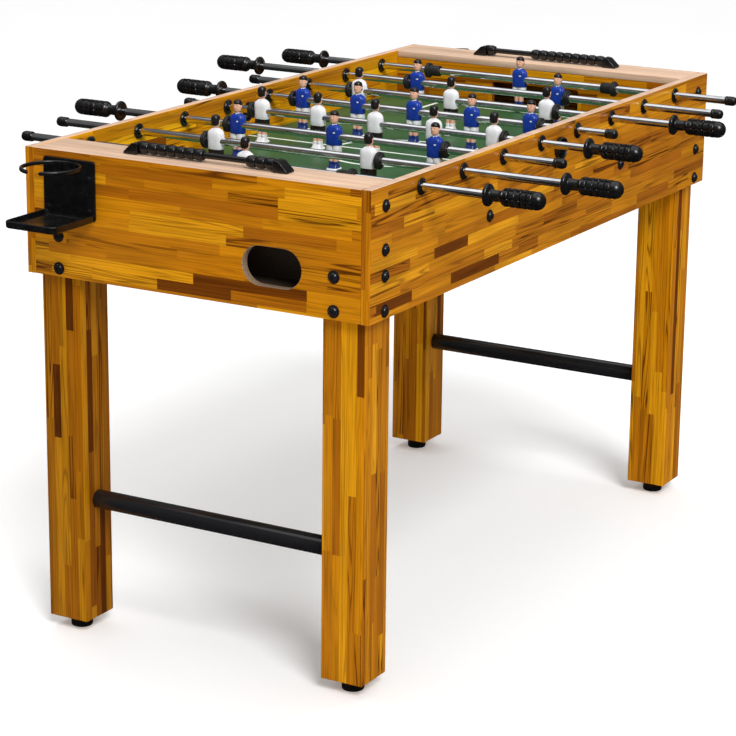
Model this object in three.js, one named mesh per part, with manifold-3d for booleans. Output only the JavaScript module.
// Home foosball table: wooden cabinet on four legs, eight sliding and spinning rods.
// Millimetres. X runs along the length, Y across the width, Z up; the origin is on the
// floor under the middle. Most dimensions follow from the cabinet size below.
import * as THREE from 'three';
import { mergeVertices } from 'three/addons/utils/BufferGeometryUtils.js';
import Module from 'manifold-3d';

const wasm = await Module();
wasm.setup();

// ---- Cabinet ----
const LENGTH = 1219;
const WIDTH = 610;
const HEIGHT = 787;
const PANEL_HEIGHT = 198;
const PANEL_THICK = 15;
const GAP = 0.3; // left between pieces that touch
const END_X = LENGTH / 2;
const SIDE_Y = WIDTH / 2;
const INNER_Y = SIDE_Y - PANEL_THICK;
const FIT_Y = INNER_Y - GAP; // half-width of whatever stands between the side panels
const PANEL_BOTTOM = HEIGHT - PANEL_HEIGHT;
const BEHIND_END_X = END_X - PANEL_THICK - GAP; // reach of what stands behind the end panels
const RAIL_WIDTH = 86; // from the end panel's outer face
const RAIL_THICK = 12;
const GOAL_WALL_THICK = 12;
const GOAL_WALL_X = END_X - RAIL_WIDTH; // its inner face
const RAIL_UNDERSIDE = HEIGHT - RAIL_THICK;
const BELOW_RAIL = RAIL_UNDERSIDE - GAP;

// ---- Playing surface and ball run ----
const FIELD_TOP = 708;
const FIELD_THICK = 6;
const GOAL_HALF_WIDTH = 88;
const GOAL_TOP = 746;
const GOAL_SILL = 706;
const TRAY_FLOOR = 612;
const TRAY_WALL = 6;
const BEARER_X = 241;
const BEARER_WIDTH = 30;
const BEARER_BOTTOM = 666;
const RETURN_Y = 139; // middle of the ball return, to the right as a player faces the end
const RETURN_Z = 654;
const RETURN_WIDTH = 102;
const RETURN_HEIGHT = 60;
const SERVE_Z = HEIGHT - 38;
const SERVE_BORE = 15;
const SERVE_RIM = 18;
const SERVE_RIM_DEPTH = 8;

// ---- Legs ----
const LEG = 72;
const LEG_BOTTOM = 21;
const LEG_TOP = 680;
const LEG_X = BEHIND_END_X - LEG / 2;
const LEG_Y = FIT_Y - LEG / 2;
const BRACE_Z = 220;
const BRACE_RADIUS = 15;

// ---- Rods ----
const ROD_PITCH = 132;
const ROD_Z = HEIGHT - 19.5;
const ROD_RADIUS = 6.35;
const ROD_BORE = 5.1;
const RUNNING = 0.05; // radial clearance of what turns or slides on a rod
const SEGMENTS = 16;
const FLAT = Math.cos(Math.PI / SEGMENTS); // flat-to-corner ratio of a faceted circle
const BUSH_RADIUS = 13;
const BUSH_OUTER = 4;
const BUSH_INNER = 3;
const BUMPER_RADIUS = 14;
const BUMPER_LENGTH = 10;
const CAP_RADIUS = 8.2;
const CAP_LENGTH = 20;
const HANDLE_LENGTH = 95;
const HANDLE_BORE_DEPTH = 84;
const CORE_RADIUS = 3.4;
const PIN_RADIUS = 2;
const PLAYER_HALF_WIDTH = 14.5;

// Each rod from the near end: who plays on it, where its players stand, which side the
// handle is on, how far out the handle's collar and the far cap reach.
const MIDFIELD = [-220, -110, 0, 110, 220];
const ATTACK = [-184, 0, 184];
const DEFENCE = [-140, 140];
const GOAL_KEEPER = [0];
const RODS = [
  { team: 'white', at: GOAL_KEEPER, side: -1, collar: 412, capEnd: 422 },
  { team: 'white', at: DEFENCE, side: -1, collar: 473, capEnd: 451 },
  { team: 'blue', at: ATTACK, side: 1, collar: 415, capEnd: 413 },
  { team: 'white', at: MIDFIELD, side: -1, collar: 385, capEnd: 377 },
  { team: 'blue', at: MIDFIELD, side: 1, collar: 385, capEnd: 377 },
  { team: 'white', at: ATTACK, side: -1, collar: 415, capEnd: 413 },
  { team: 'blue', at: DEFENCE, side: 1, collar: 473, capEnd: 451 },
  { team: 'blue', at: GOAL_KEEPER, side: 1, collar: 412, capEnd: 422 },
];
const KEEPER_STOP = 184; // inner face of a goalkeeper rod's bumper
const KEEPER_SLEEVE = 20; // length of the sleeve inboard of that bumper

// ---- Scorers ----
const SCORER_X = END_X - RAIL_WIDTH / 2;
const SCORER_HALF = 145;
const SCORER_BRACKET = 25;
const SCORER_BAR_Z = HEIGHT + 10.5;
const SCORER_HEIGHT = 19;
const SCORER_BAR = 5; // radius
const BEAD_PITCH = 16.4;
const BEAD_RADIUS = 9.2;
const BEAD_COUNT = 10;

// ---- Cup holders ----
const CUP_Y = 220.5;
const CUP_WIDTH = 95;
const CUP_REACH = 106;
const CUP_TOP = HEIGHT - 10.5;
const CUP_BOTTOM = HEIGHT - 107.5;
const CUP_PLATE = 4;
const CUP_TRAY_BOTTOM = CUP_BOTTOM + 4;
const CUP_RIM = 11; // height of the tray's rim
const CUP_RING_RADIUS = 47;
const CUP_RING_Z = HEIGHT - 17;
const CUP_MOUTH = 28; // gap at the front of the ring, for a mug's handle

// ---- Materials ----
function material(color, roughness, metalness = 0) {
  return new THREE.MeshStandardMaterial({ color, roughness, metalness });
}
const PANEL_WOOD = [0xc07a1c, 0.45];
const RAIL_WOOD = [0xd9ae88, 0.45];
const BLACK = [0x0b0b0d, 0.3];
const TEAM_COLOR = { white: [0xe9e9ee, 0.4], blue: [0x1438b0, 0.35] };

const group = new THREE.Group();

function place(name, geometry, finish) {
  const mesh = new THREE.Mesh(geometry, material(...finish));
  mesh.name = name;
  group.add(mesh);
}

// ---- Solid helpers ----
function solid(geometry) {
  const bare = geometry.clone();
  bare.deleteAttribute('normal');
  bare.deleteAttribute('uv');
  const merged = mergeVertices(bare, 1e-3);
  return new wasm.Manifold(new wasm.Mesh({
    numProp: 3,
    vertProperties: merged.attributes.position.array,
    triVerts: new Uint32Array(merged.index.array),
  }));
}

function geometryOf(manifold) {
  const mesh = manifold.getMesh();
  const out = new THREE.BufferGeometry();
  out.setAttribute('position', new THREE.BufferAttribute(new Float32Array(mesh.vertProperties), 3));
  out.setIndex(new THREE.BufferAttribute(new Uint32Array(mesh.triVerts), 1));
  return out;
}

function cut(base, ...tools) {
  return tools.reduce((left, tool) => left.subtract(tool), base);
}

function join(...solids) {
  return solids.reduce((sum, one) => sum.add(one));
}

// An axis-aligned block between two corners.
function block(x0, x1, y0, y1, z0, z1) {
  const box = new THREE.BoxGeometry(x1 - x0, y1 - y0, z1 - z0);
  return box.translate((x0 + x1) / 2, (y0 + y1) / 2, (z0 + z1) / 2);
}

// The same block mirrored to the end at +X (end = 1) or -X (end = -1).
function endBlock(end, near, far, y0, y1, z0, z1) {
  const [x0, x1] = end > 0 ? [near, far] : [-far, -near];
  return block(x0, x1, y0, y1, z0, z1);
}

// A solid of revolution about Y from [radius, y] pairs. The profile starts and ends on the
// axis, or closes on itself.
function turned(profile, x, z, segments = SEGMENTS) {
  const points = profile.map(([r, y]) => new THREE.Vector2(r, y));
  if (signedArea(profile) < 0) points.reverse();
  return new THREE.LatheGeometry(points, segments).translate(x, 0, z);
}

function signedArea(profile) {
  return profile.reduce((sum, [r, y], i) => {
    const [r2, y2] = profile[(i + 1) % profile.length];
    return sum + (r * y2 - r2 * y) / 2;
  }, 0);
}

// A straight bar of round section along Y between y0 and y1.
function barAlongY(radius, y0, y1, x, z, segments = SEGMENTS) {
  return turned([[0, y0], [radius, y0], [radius, y1], [0, y1]], x, z, segments);
}

function polygon(points) {
  return new THREE.Shape(points.map(([a, b]) => new THREE.Vector2(a, b)));
}

// A polygon in the YZ plane, extruded along X from x0 to x1.
function extrudeAlongX(shape, x0, x1, curveSegments = 10) {
  const options = { depth: x1 - x0, bevelEnabled: false, curveSegments };
  const out = new THREE.ExtrudeGeometry(shape, options);
  return out.rotateX(Math.PI / 2).rotateZ(Math.PI / 2).translate(x0, 0, 0);
}

// A polygon in the XZ plane, extruded along Y and centred on y = 0.
function extrudeAlongY(shape, depth) {
  const out = new THREE.ExtrudeGeometry(shape, { depth, bevelEnabled: false });
  return out.translate(0, 0, -depth / 2).rotateX(Math.PI / 2);
}

// A polygon in the XY plane, extruded up from z0 to z1.
function extrudeUp(shape, z0, z1, curveSegments = 6) {
  const options = { depth: z1 - z0, bevelEnabled: false, curveSegments };
  return new THREE.ExtrudeGeometry(shape, options).translate(0, 0, z0);
}

// ---- Cabinet pieces ----
function rodX(index) {
  return (index - (RODS.length - 1) / 2) * ROD_PITCH;
}

// Side panel with the plastic bushes of its eight rods and the ball serve cup joined to it.
function sidePanel(side) {
  const yInner = side * INNER_Y;
  const yOuter = side * SIDE_Y;
  const [y0, y1] = [Math.min(yInner, yOuter), Math.max(yInner, yOuter)];
  let panel = solid(block(-END_X, END_X, y0, y1, PANEL_BOTTOM, HEIGHT));
  const bushFrom = yInner - side * BUSH_INNER;
  const bushTo = yOuter + side * BUSH_OUTER;
  const boreRadius = (ROD_RADIUS + RUNNING) / FLAT;
  RODS.forEach((rod, i) => {
    const x = rodX(i);
    panel = panel.add(solid(barAlongY(BUSH_RADIUS, bushFrom, bushTo, x, ROD_Z)));
  });
  panel = panel.add(solid(barAlongY(SERVE_RIM, yInner, yOuter + side * SERVE_RIM_DEPTH, 0, SERVE_Z)));
  RODS.forEach((rod, i) => {
    panel = panel.subtract(solid(barAlongY(boreRadius, bushFrom - side, bushTo + side, rodX(i), ROD_Z)));
  });
  const serve = barAlongY(SERVE_BORE, yInner - side, yOuter + side * (SERVE_RIM_DEPTH + 1), 0, SERVE_Z);
  return geometryOf(panel.subtract(solid(serve)));
}

// A slot with round ends in the YZ plane.
function stadium(yMid, zMid, width, height) {
  const r = height / 2;
  const half = width / 2 - r;
  const shape = new THREE.Shape();
  shape.moveTo(yMid - half, zMid - r);
  shape.lineTo(yMid + half, zMid - r);
  shape.absarc(yMid + half, zMid, r, -Math.PI / 2, Math.PI / 2, false);
  shape.lineTo(yMid - half, zMid + r);
  shape.absarc(yMid - half, zMid, r, Math.PI / 2, Math.PI * 1.5, false);
  return shape;
}

function endPanel(end) {
  const board = endBlock(end, END_X - PANEL_THICK, END_X, -FIT_Y, FIT_Y, PANEL_BOTTOM, HEIGHT);
  const slot = stadium(end * RETURN_Y, RETURN_Z, RETURN_WIDTH, RETURN_HEIGHT);
  const low = Math.min(end * (END_X - PANEL_THICK - 1), end * (END_X + 1));
  return geometryOf(cut(solid(board), solid(extrudeAlongX(slot, low, low + PANEL_THICK + 2))));
}

function goalWall(end) {
  const shape = polygon([
    [-LEG_Y + LEG / 2 + GAP, TRAY_FLOOR], [LEG_Y - LEG / 2 - GAP, TRAY_FLOOR],
    [LEG_Y - LEG / 2 - GAP, LEG_TOP + GAP], [FIT_Y, LEG_TOP + GAP],
    [FIT_Y, BELOW_RAIL], [-FIT_Y, BELOW_RAIL],
    [-FIT_Y, LEG_TOP + GAP], [-LEG_Y + LEG / 2 + GAP, LEG_TOP + GAP],
  ]);
  const low = Math.min(end * GOAL_WALL_X, end * (GOAL_WALL_X + GOAL_WALL_THICK));
  const wall = extrudeAlongX(shape, low, low + GOAL_WALL_THICK);
  const mouth = endBlock(end, GOAL_WALL_X - 1, GOAL_WALL_X + GOAL_WALL_THICK + 1,
    -GOAL_HALF_WIDTH, GOAL_HALF_WIDTH, GOAL_SILL, GOAL_TOP);
  return geometryOf(cut(solid(wall), solid(mouth)));
}

// Ball box under a goal: floor between the legs, walls up, ledges over the leg tops and
// a corner cleat at each end, all one bent section along X.
function ballBox(end) {
  const outer = FIT_Y - GAP;
  const wallOut = LEG_Y - LEG / 2 - GAP;
  const wallIn = wallOut - TRAY_WALL;
  const ledge = LEG_TOP + GAP;
  const cleat = outer - 30;
  const right = [
    [wallOut, TRAY_FLOOR], [wallOut, ledge], [outer, ledge], [outer, BELOW_RAIL],
    [cleat, BELOW_RAIL], [cleat, ledge + TRAY_WALL], [wallIn, ledge + TRAY_WALL],
    [wallIn, TRAY_FLOOR + TRAY_WALL],
  ];
  const left = right.map(([y, z]) => [-y, z]).reverse();
  const inner = GOAL_WALL_X + GOAL_WALL_THICK + GAP;
  const low = Math.min(end * inner, end * BEHIND_END_X);
  return extrudeAlongX(polygon([...right, ...left]), low, low + BEHIND_END_X - inner);
}

// ---- Leg with its round foot ----
function leg(sx, sy) {
  const x = sx * LEG_X;
  const y = sy * LEG_Y;
  const post = block(x - LEG / 2, x + LEG / 2, y - LEG / 2, y + LEG / 2, LEG_BOTTOM, LEG_TOP);
  const profile = [[0, 0], [16, 0], [17.5, 2], [17.5, 10], [14, 13], [8, 13], [8, LEG_BOTTOM + 2],
    [0, LEG_BOTTOM + 2]];
  const foot = turned(profile, 0, 0).rotateX(Math.PI / 2).translate(x, y, 0);
  return geometryOf(join(solid(post), solid(foot)));
}

function brace(end) {
  const half = LEG_Y - LEG / 2 - GAP;
  const wall = 1.5;
  const tube = solid(barAlongY(BRACE_RADIUS, -half, half, end * LEG_X, BRACE_Z));
  const bore = solid(barAlongY(BRACE_RADIUS - wall, -half - 1, half + 1, end * LEG_X, BRACE_Z));
  return geometryOf(cut(tube, bore));
}

// ---- Cup holder: back plate, open ring for the cup and tray under it ----
function cupHolder(end) {
  const face = END_X + GAP;
  const [y0, y1] = [CUP_Y - CUP_WIDTH / 2, CUP_Y + CUP_WIDTH / 2];
  const back = endBlock(end, face, face + CUP_PLATE, y0, y1, CUP_BOTTOM, CUP_TOP);
  const tray = endBlock(end, face, face + CUP_REACH, y0, y1, CUP_TRAY_BOTTOM, CUP_TRAY_BOTTOM + CUP_RIM);
  const well = endBlock(end, face + CUP_PLATE, face + CUP_REACH - 4, y0 + 4, y1 - 4,
    CUP_TRAY_BOTTOM + 3, CUP_TRAY_BOTTOM + CUP_RIM + 1);
  const ringX = end * (face + CUP_RING_RADIUS + 1);
  const ring = new THREE.Shape();
  ring.absarc(ringX, CUP_Y, CUP_RING_RADIUS, 0, Math.PI * 2, false);
  const hole = new THREE.Path();
  hole.absarc(ringX, CUP_Y, CUP_RING_RADIUS - 5, 0, Math.PI * 2, true);
  ring.holes.push(hole);
  const hoop = extrudeUp(ring, CUP_RING_Z - 3, CUP_RING_Z + 3, 14);
  const mouth = endBlock(end, face + CUP_RING_RADIUS, face + CUP_REACH, CUP_Y - CUP_MOUTH / 2,
    CUP_Y + CUP_MOUTH / 2, CUP_RING_Z - 4, CUP_RING_Z + 4);
  return geometryOf(join(cut(solid(tray), solid(well)), solid(back), cut(solid(hoop), solid(mouth))));
}

// ---- Scorer: bar between two wedge brackets, beads in two stacks ----
function scorerRack(end) {
  const x = end * SCORER_X;
  const base = HEIGHT + GAP;
  const wedge = (sy) => {
    const inner = SCORER_HALF - SCORER_BRACKET;
    const shape = polygon([
      [sy * inner, base], [sy * SCORER_HALF, base], [sy * SCORER_HALF, base + 3],
      [sy * (SCORER_HALF - 15), base + SCORER_HEIGHT - 2], [sy * inner, base + SCORER_HEIGHT],
    ]);
    return solid(extrudeAlongX(shape, x - 11, x + 11));
  };
  const bar = barAlongY(SCORER_BAR, -SCORER_HALF + 12, SCORER_HALF - 12, x, SCORER_BAR_Z);
  return geometryOf(join(wedge(-1), wedge(1), solid(bar)));
}

// A stack of beads touching side by side, threaded on the bar; it starts at the bracket.
function beadStack(end, side, count) {
  const start = SCORER_HALF - SCORER_BRACKET - GAP;
  const inner = (SCORER_BAR + RUNNING) / FLAT;
  const profile = [[inner, side * start]];
  for (let i = 0; i < count; i += 1) {
    const from = start - i * BEAD_PITCH;
    profile.push([BEAD_RADIUS - 2.5, side * from]);
    profile.push([BEAD_RADIUS, side * (from - BEAD_PITCH / 2)]);
  }
  const finish = start - count * BEAD_PITCH;
  profile.push([BEAD_RADIUS - 2.5, side * finish]);
  profile.push([inner, side * finish]);
  profile.push(profile[0]);
  return turned(profile, end * SCORER_X, SCORER_BAR_Z);
}

// ---- Rods ----
// Where the bumper on each side of a rod begins, measured outward from the middle.
function bumperStart(rod) {
  const outermost = rod.at[rod.at.length - 1];
  return outermost === 0 ? KEEPER_STOP : outermost + PLAYER_HALF_WIDTH + 0.5;
}

function bumperProfile(rod, inner) {
  const from = bumperStart(rod);
  const to = from + BUMPER_LENGTH;
  const sleeve = [[inner, from - KEEPER_SLEEVE], [10, from - KEEPER_SLEEVE], [10, from]];
  const ring = [[BUMPER_RADIUS - 1.5, from], [BUMPER_RADIUS, from + 2], [BUMPER_RADIUS, to - 2],
    [BUMPER_RADIUS - 1.5, to], [inner, to]];
  return rod.at.length === 1 ? [...sleeve, ...ring] : [[inner, from], ...ring];
}

// Loose bumper on the handle side of a rod.
function bumper(rod, index) {
  const inner = (ROD_RADIUS + RUNNING) / FLAT;
  const profile = bumperProfile(rod, inner).map(([r, s]) => [r, s * rod.side]);
  profile.push(profile[0]);
  return turned(profile, rodX(index), ROD_Z);
}

// Steel tube with the bumper and the domed cap of its far side joined to it. The tube is
// open at the handle end, where the handle sleeves over it.
function rodTube(rod, index) {
  const handleEnd = rod.collar + HANDLE_BORE_DEPTH - 3;
  const far = -rod.side;
  const capStart = rod.capEnd - CAP_LENGTH;
  const profile = [
    [0, capStart], [ROD_BORE, capStart], [ROD_BORE, -handleEnd], [ROD_RADIUS, -handleEnd],
    ...bumperProfile(rod, ROD_RADIUS),
    [ROD_RADIUS, capStart], [CAP_RADIUS, capStart], [CAP_RADIUS, rod.capEnd - 5],
    [5, rod.capEnd - 1], [0, rod.capEnd],
  ].map(([r, s]) => [r, far * s]);
  const tube = solid(turned(profile, rodX(index), ROD_Z));
  const holes = rod.at.map((y) => pin(rodX(index), y, PIN_RADIUS + GAP, ROD_RADIUS + 3));
  return geometryOf(cut(tube, ...holes));
}

// A short pin straight down from the rod's axis, through the tube's lower wall.
function pin(x, y, radius, reach) {
  const rodPin = new THREE.CylinderGeometry(radius, radius, reach, 8);
  return solid(rodPin.rotateX(Math.PI / 2).translate(x, y, ROD_Z - reach / 2));
}

// Half-widths of a player at each height, measured from the rod's axis: across (Y) and
// front to back (X).
const PLAYER_FRONT = [
  [42, 4], [38, 6], [28, 6], [21, 4], [14, PLAYER_HALF_WIDTH], [-20, 12.5], [-21, 8.5], [-44, 7.5],
  [-47, 10], [-54, 10],
];
const PLAYER_SIDE = [
  [42, 4], [38, 6.5], [28, 6.5], [21, 4], [14, 8.5], [-20, 8.5], [-21, 6.5], [-44, 6.5], [-48, 12],
  [-54, 12],
];

function silhouette(levels) {
  const right = levels.map(([z, half]) => [half, z]);
  const left = levels.map(([z, half]) => [-half, z]).reverse();
  return polygon([...left, ...right].reverse());
}

function playerBody() {
  const front = solid(extrudeAlongX(silhouette(PLAYER_FRONT), -20, 20));
  const side = solid(extrudeAlongY(silhouette(PLAYER_SIDE), 60));
  const clear = (ROD_RADIUS + GAP) / FLAT;
  return cut(front.intersect(side), solid(barAlongY(clear, -30, 30, 0, 0)));
}

const PLAYER_SHAPE = playerBody();

// All players of one rod. They are held together by a thin core inside the tube, which
// each player reaches with the pin that fixes it to the rod.
function players(rod, index) {
  const x = rodX(index);
  const reach = ROD_RADIUS + 2;
  const last = rod.at[rod.at.length - 1] + PIN_RADIUS + 2;
  const core = solid(barAlongY(CORE_RADIUS, -last, last, x, ROD_Z, 8));
  const bodies = rod.at.map((y) => {
    const standing = PLAYER_SHAPE.translate([x, y, ROD_Z]);
    return join(standing, pin(x, y, PIN_RADIUS, reach));
  });
  return geometryOf(join(core, ...bodies));
}

// Handle: flange, neck, ribbed grip and round end, on a blind bore.
function handle(rod, index) {
  const bore = (ROD_RADIUS + GAP) / FLAT;
  const ribs = [];
  for (let i = 0; i < 5; i += 1) {
    const from = 29 + i * 12.4;
    ribs.push([12.2, from], [13.8, from + 6.2]);
  }
  const profile = [
    [0, HANDLE_BORE_DEPTH], [bore, HANDLE_BORE_DEPTH], [bore, 0], [15, 0], [17, 2], [17, 5], [9, 9],
    [8.4, 25], ...ribs, [11, HANDLE_LENGTH - 3], [6, HANDLE_LENGTH], [0, HANDLE_LENGTH],
  ].map(([r, s]) => [r, rod.side * (rod.collar + s)]);
  return turned(profile, rodX(index), ROD_Z);
}

// ---- Assembly ----
for (const [side, name] of [[-1, 'right'], [1, 'left']]) {
  place(`side_panel_${name}`, sidePanel(side), PANEL_WOOD);
}

const ENDS = [[-1, 'near', 7], [1, 'far', 1]]; // side, name, beads pushed to the left
for (const [end, name, leftBeads] of ENDS) {
  place(`end_panel_${name}`, endPanel(end), PANEL_WOOD);
  place(`end_rail_${name}`, endBlock(end, GOAL_WALL_X, BEHIND_END_X, -FIT_Y, FIT_Y, RAIL_UNDERSIDE, HEIGHT),
    RAIL_WOOD);
  place(`goal_wall_${name}`, goalWall(end), PANEL_WOOD);
  place(`ball_box_${name}`, ballBox(end), PANEL_WOOD);
  place(`leg_brace_${name}`, brace(end), BLACK);
  place(`cup_holder_${name}`, cupHolder(end), BLACK);
  place(`scorer_rack_${name}`, scorerRack(end), BLACK);
  place(`scorer_beads_${name}_left`, beadStack(end, 1, leftBeads), BLACK);
  place(`scorer_beads_${name}_right`, beadStack(end, -1, BEAD_COUNT - leftBeads), BLACK);
  place(`field_bearer_${name}`, endBlock(end, BEARER_X - BEARER_WIDTH / 2, BEARER_X + BEARER_WIDTH / 2,
    -FIT_Y, FIT_Y, BEARER_BOTTOM, FIELD_TOP - FIELD_THICK - GAP), PANEL_WOOD);
  for (const [side, sideName] of [[-1, 'right'], [1, 'left']]) {
    place(`leg_${name}_${sideName}`, leg(end, side), PANEL_WOOD);
  }
}

const fieldEnd = GOAL_WALL_X - GAP;
place('playing_field', block(-fieldEnd, fieldEnd, -FIT_Y, FIT_Y, FIELD_TOP - FIELD_THICK, FIELD_TOP),
  [0x2f6b45, 0.5]);

RODS.forEach((rod, index) => {
  const label = index + 1;
  place(`rod_${label}_tube`, rodTube(rod, index), [0xc9ccd2, 0.15, 1]);
  place(`rod_${label}_players`, players(rod, index), TEAM_COLOR[rod.team]);
  place(`rod_${label}_handle`, handle(rod, index), BLACK);
  place(`rod_${label}_bumper`, bumper(rod, index), BLACK);
});

export default group;
